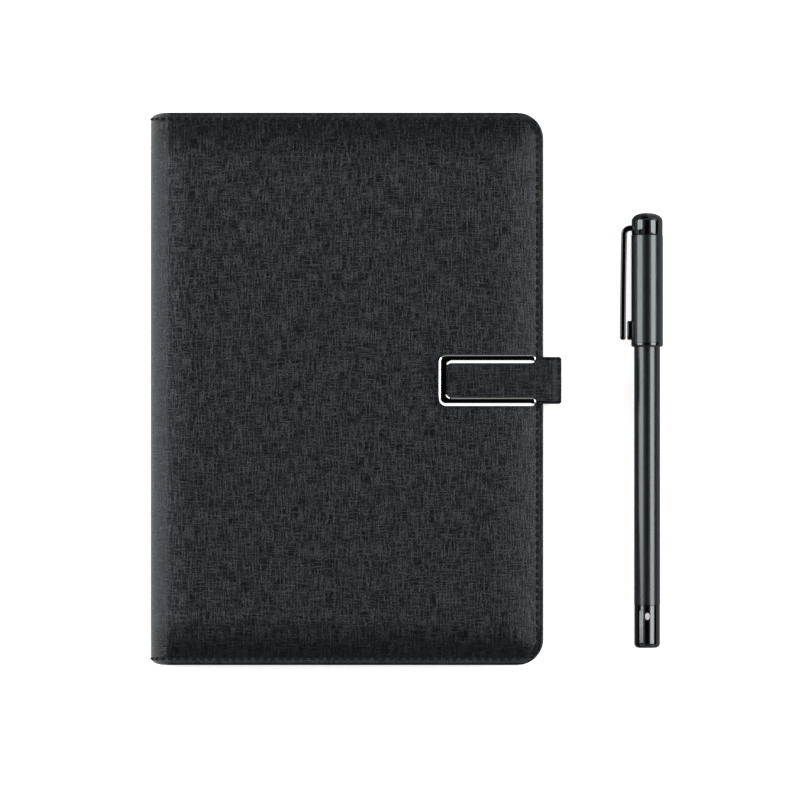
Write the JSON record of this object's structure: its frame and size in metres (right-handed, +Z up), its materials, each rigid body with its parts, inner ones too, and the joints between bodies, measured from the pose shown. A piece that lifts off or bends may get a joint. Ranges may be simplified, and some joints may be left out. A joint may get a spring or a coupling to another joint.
{
  "type": "digital writing notebook",
  "caption": "Closed padded folio with a magnetic strap and metal tongue frame, a bound paper block inside, and a capped camera pen with a side clip beside it.",
  "frame": {"origin": "centre of the back cover's underside, at table level, with the folio shut", "axes": "+X from the spine towards the fore edge and the pen, +Y towards the head of the page, +Z up from the table"},
  "size_m": [0.2025, 0.218, 0.0234],
  "materials": {
    "cover_leather": "satin",
    "lining_leather": "satin",
    "foam": "matte",
    "greyboard": "matte",
    "paper": "matte",
    "card": "matte",
    "binding_cloth": "matte",
    "steel_plate": "satin",
    "magnet": "polished",
    "black_nickel": "polished",
    "pen_body": "satin",
    "pen_gloss": "polished",
    "pen_plastic": "matte",
    "window": "polished",
    "light_pipe": "satin",
    "circuit": "satin",
    "battery_wrap": "satin",
    "socket_steel": "satin",
    "refill_plastic": "satin",
    "tip_steel": "satin",
    "rubber_pad": "matte",
    "sensor": "satin"
  },
  "bodies": {
    "back_cover": {"back_cover_skin": "cover_leather", "back_cover_board": "greyboard", "back_cover_lining": "lining_leather", "back_sleeve": "lining_leather", "back_card": "card", "back_leaves": "paper", "back_binding": "binding_cloth", "strap_anchor": "cover_leather"},
    "spine": {"spine_skin": "cover_leather", "spine_foam": "foam", "spine_board": "greyboard", "spine_lining": "lining_leather"},
    "front_cover": {"front_cover_skin": "cover_leather", "front_cover_foam": "foam", "front_cover_board": "greyboard", "front_keeper_plate": "steel_plate", "front_cover_lining": "lining_leather", "front_pocket": "lining_leather", "card_slots": "lining_leather"},
    "front_page_stack": {"front_leaves": "paper", "front_card": "card", "front_binding": "binding_cloth"},
    "strap_side": {"strap_riser": "cover_leather"},
    "strap_tongue": {"strap_flap": "cover_leather", "strap_flap_lining": "lining_leather", "strap_magnet": "magnet", "buckle_frame": "black_nickel"},
    "pen": {"pen_barrel": "pen_body", "tail_cap": "pen_gloss", "led_light_pipe": "light_pipe", "tail_board": "circuit", "socket_shell": "socket_steel", "socket_tongue": "pen_plastic", "battery": "battery_wrap", "nose_section": "pen_plastic", "camera_window": "window", "camera_module": "pen_plastic", "chassis": "pen_plastic", "circuit_board": "circuit", "force_sensor": "sensor"},
    "refill": {"refill_tube": "refill_plastic", "refill_tip": "tip_steel", "refill_holder": "pen_plastic"},
    "pen_cap": {"cap_sleeve": "pen_body", "cap_mouth_ring": "pen_gloss", "cap_finial": "pen_gloss", "cap_liner": "pen_plastic", "grip_pad": "rubber_pad"},
    "pen_clip": {"clip": "pen_gloss"}
  },
  "joints": [
    {"name": "cover_hinge", "type": "hinge", "parent": "spine", "child": "front_cover", "pos_m": [-0.07578, 0, 0.01838], "axis": [0, -1, 0], "range_deg": [0, 90]},
    {"name": "spine_hinge", "type": "hinge", "parent": "back_cover", "child": "spine", "pos_m": [-0.07578, 0, 0.00172], "axis": [0, -1, 0], "range_deg": [0, 90]},
    {"name": "page_turn", "type": "hinge", "parent": "back_cover", "child": "front_page_stack", "pos_m": [-0.0735, 0, 0.01005], "axis": [0, -1, 0], "range_deg": [0, 180]},
    {"name": "strap_side_bend", "type": "hinge", "parent": "back_cover", "child": "strap_side", "pos_m": [0.08373, 0, 0.00174], "axis": [0, 1, 0], "range_deg": [0, 30]},
    {"name": "strap_tongue_bend", "type": "hinge", "parent": "strap_side", "child": "strap_tongue", "pos_m": [0.08373, 0, 0.02166], "axis": [0, 1, 0], "range_deg": [0, 150]},
    {"name": "pen_set_aside", "type": "slide", "parent": "back_cover", "child": "pen", "axis": [1, 0, 0], "range_m": [0, 0.06]},
    {"name": "cap_pull", "type": "slide", "parent": "pen", "child": "pen_cap", "axis": [0, 1, 0], "range_m": [0, 0.05]},
    {"name": "clip_flex", "type": "hinge", "parent": "pen_cap", "child": "pen_clip", "pos_m": [0.1133, 0.0634, 0.0063], "axis": [0, 0, -1], "range_deg": [0, 6], "stiffness_Nm_per_rad": 1.5},
    {"name": "nib_press", "type": "slide", "parent": "pen", "child": "refill", "axis": [0, -1, 0], "range_m": [0, 0.0004], "stiffness_N_per_m": 2500}
  ],
  "couplings": [
    {"joint": "spine_hinge", "follows": "cover_hinge", "ratio": 1},
    {"joint": "page_turn", "follows": "cover_hinge", "ratio": 2}
  ]
}
